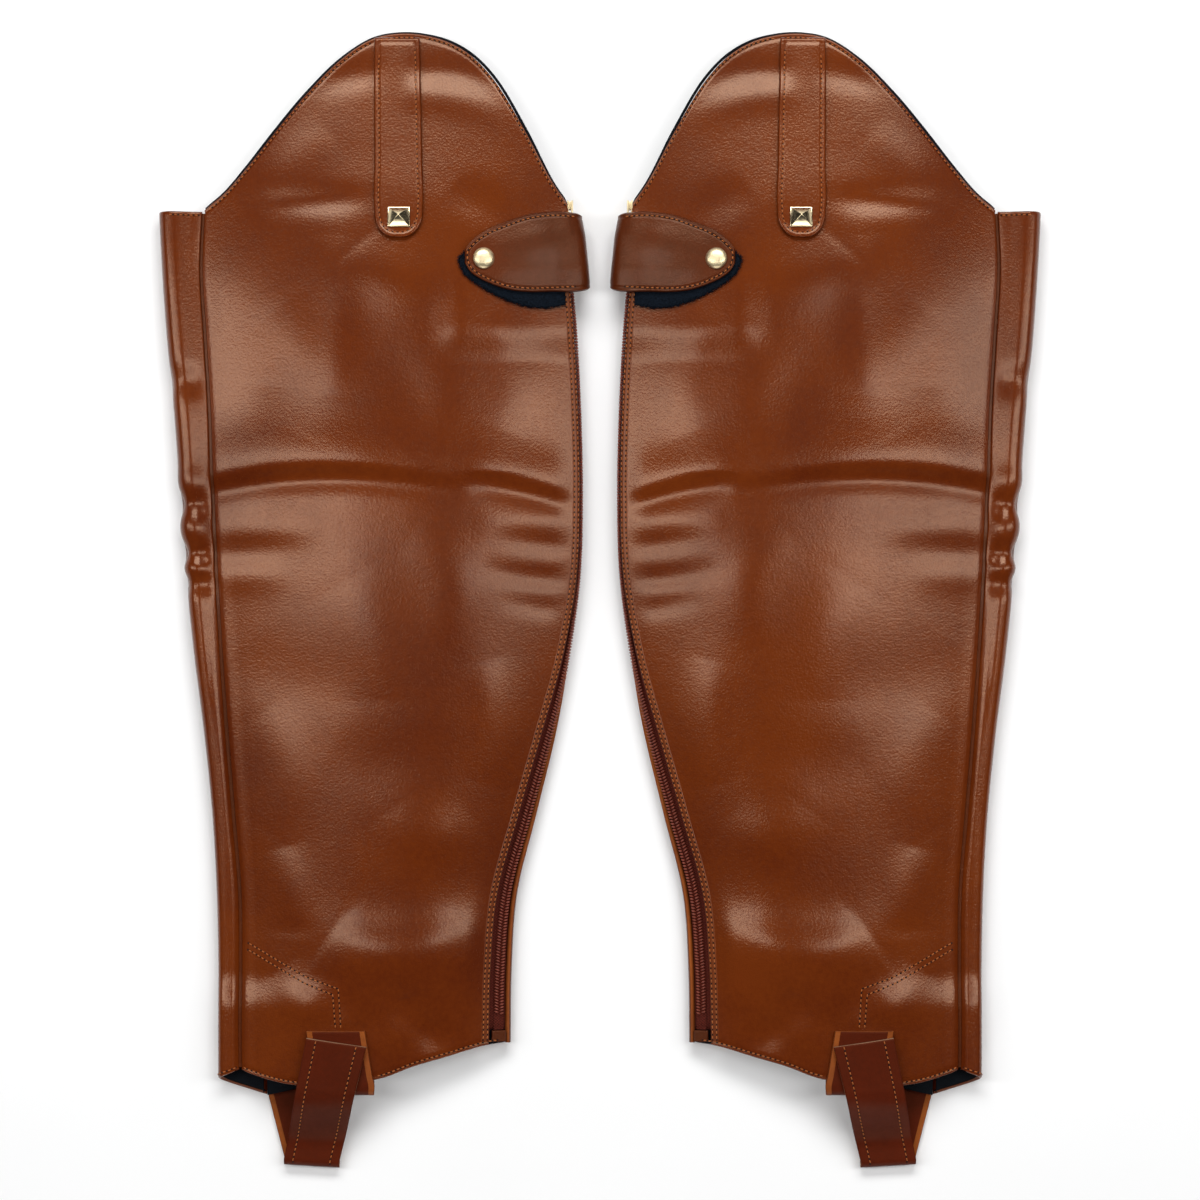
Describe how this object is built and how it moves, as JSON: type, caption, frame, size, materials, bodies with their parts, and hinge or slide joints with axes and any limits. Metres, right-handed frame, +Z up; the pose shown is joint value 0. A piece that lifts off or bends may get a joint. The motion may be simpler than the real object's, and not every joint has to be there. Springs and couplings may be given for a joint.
{
  "type": "pair of leather gaiters",
  "caption": "Pair of brown leather gaiters with raised Spanish tops, rear zips, snap straps, studded loop straps and foot straps, laid flat.",
  "frame": {"origin": "middle of the pair at the floor", "axes": "+X across the pair, +Y up the legs towards the Spanish tops, +Z up from the floor"},
  "size_m": [0.3972, 0.5113, 0.0282],
  "materials": {
    "leather": "glossy brown oiled leather with a fine grain",
    "dark_leather": "darker brown oiled leather",
    "strap_leather": "smooth dark red-brown strap leather with pale cut edges",
    "lining": "black woven lining",
    "felt": "blue-black felt",
    "zip_tape": "maroon woven zip tape",
    "zip_coil": "red-brown nylon coil",
    "brass": "polished light gold"
  },
  "bodies": {
    "pair": {"left_outer_panel": "leather", "left_front_band": "leather", "left_inner_panel": "dark_leather", "left_hem_lining": "lining", "left_zip_tape_outer": "zip_tape", "left_zip_tape_inner": "zip_tape", "left_zip_coil": "zip_coil", "left_zip_end_tab": "dark_leather", "left_zip_slider": "brass", "left_loop_strap": "leather", "left_pyramid_stud": "brass", "left_felt_patch": "felt", "left_snap_strap": "dark_leather", "left_snap_cap": "brass", "left_foot_strap": "strap_leather", "left_foot_tab": "strap_leather", "right_outer_panel": "leather", "right_front_band": "leather", "right_inner_panel": "dark_leather", "right_hem_lining": "lining", "right_zip_tape_outer": "zip_tape", "right_zip_tape_inner": "zip_tape", "right_zip_coil": "zip_coil", "right_zip_end_tab": "dark_leather", "right_zip_slider": "brass", "right_loop_strap": "leather", "right_pyramid_stud": "brass", "right_felt_patch": "felt", "right_snap_strap": "dark_leather", "right_snap_cap": "brass", "right_foot_strap": "strap_leather", "right_foot_tab": "strap_leather"},
    "left_pull": {"left_zip_pull_tab": "brass"},
    "right_pull": {"right_zip_pull_tab": "brass"}
  },
  "joints": [
    {"name": "left_pull_swing", "type": "hinge", "parent": "pair", "child": "left_pull", "pos_m": [-0.0111, 0.1706, 0.00795], "axis": [0, 0, 1], "range_deg": [0, 7]},
    {"name": "right_pull_swing", "type": "hinge", "parent": "pair", "child": "right_pull", "pos_m": [0.0111, 0.1706, 0.00795], "axis": [0, 0, -1], "range_deg": [0, 7]}
  ]
}
